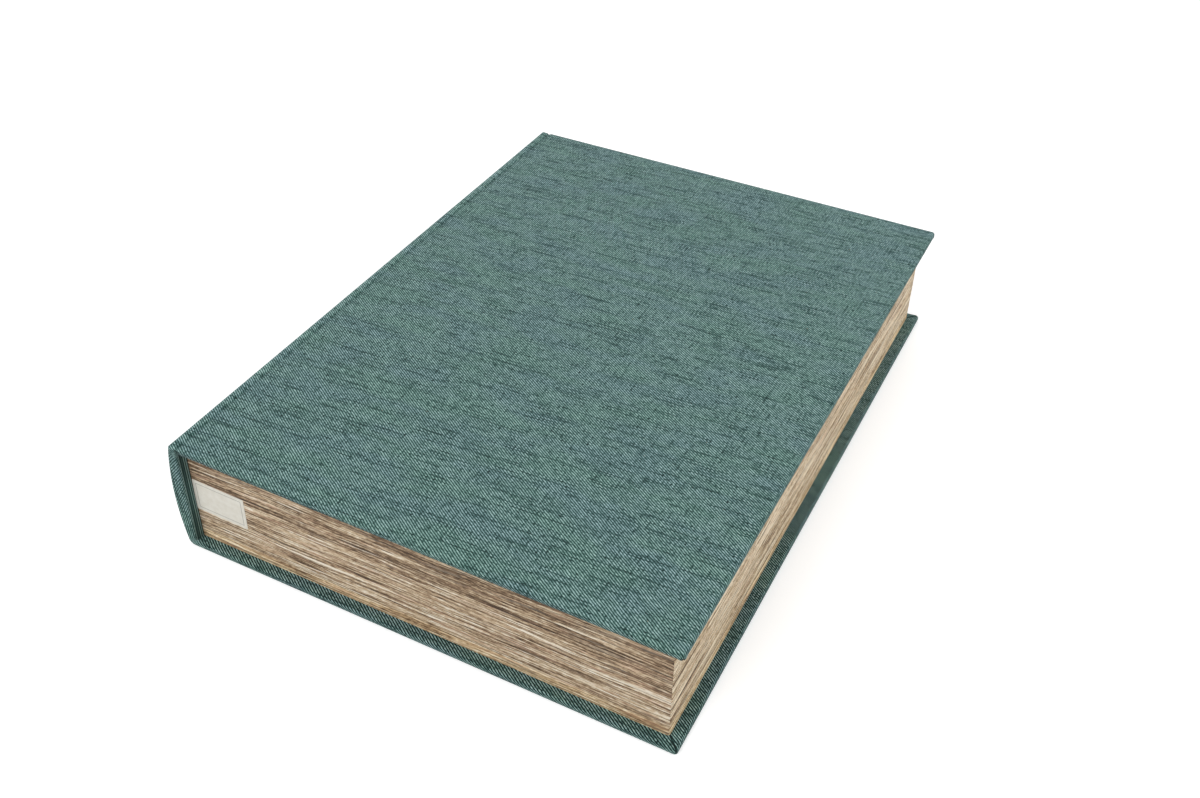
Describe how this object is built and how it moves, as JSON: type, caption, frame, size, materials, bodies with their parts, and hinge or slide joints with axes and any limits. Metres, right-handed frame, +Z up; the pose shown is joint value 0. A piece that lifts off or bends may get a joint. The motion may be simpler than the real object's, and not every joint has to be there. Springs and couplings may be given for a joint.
{
  "type": "book box",
  "caption": "Flat box shaped like a large closed book: cloth covered lid, base and rounded spine round a shallow tray with printed page edges. The lid swings on a cloth hinge.",
  "frame": {"origin": "on the surface that the box lies on, under the middle of its outside", "axes": "+X from the spine to the fore-edge, +Y from the tail of the book to its head, +Z up through the lid"},
  "size_m": [0.243, 0.326, 0.058],
  "materials": {
    "board": "raw fibreboard, matt",
    "book_cloth": "plain woven teal-green book cloth with darker slubs",
    "page_paper": "paper printed with fine lines like page edges, matt",
    "lining_paper": "plain off-white lining paper, matt",
    "sticker_paper": "blank white sticker with a thin grey frame",
    "steel": "nickel plated"
  },
  "bodies": {
    "tray": {"base_board": "board", "spine_board": "board", "case_cloth": "book_cloth", "spine_hinge_strip": "book_cloth", "tray_floor": "board", "tail_wall": "board", "head_wall": "board", "fore_edge_wall": "board", "spine_side_wall": "board", "page_edge_paper": "page_paper", "wall_liner": "lining_paper", "floor_liner": "lining_paper", "magnets": "steel", "sticker": "sticker_paper", "hinge_cloth": "book_cloth"},
    "lid": {"lid_board": "board", "lid_cloth": "book_cloth", "lid_hinge_strip": "book_cloth", "lid_liner": "lining_paper", "strike_plates": "steel"}
  },
  "joints": [
    {"name": "lid_hinge", "type": "hinge", "parent": "tray", "child": "lid", "pos_m": [-0.1139, 0, 0.058], "axis": [0, -1, 0], "range_deg": [0, 180], "deforming": ["hinge_cloth"]}
  ]
}
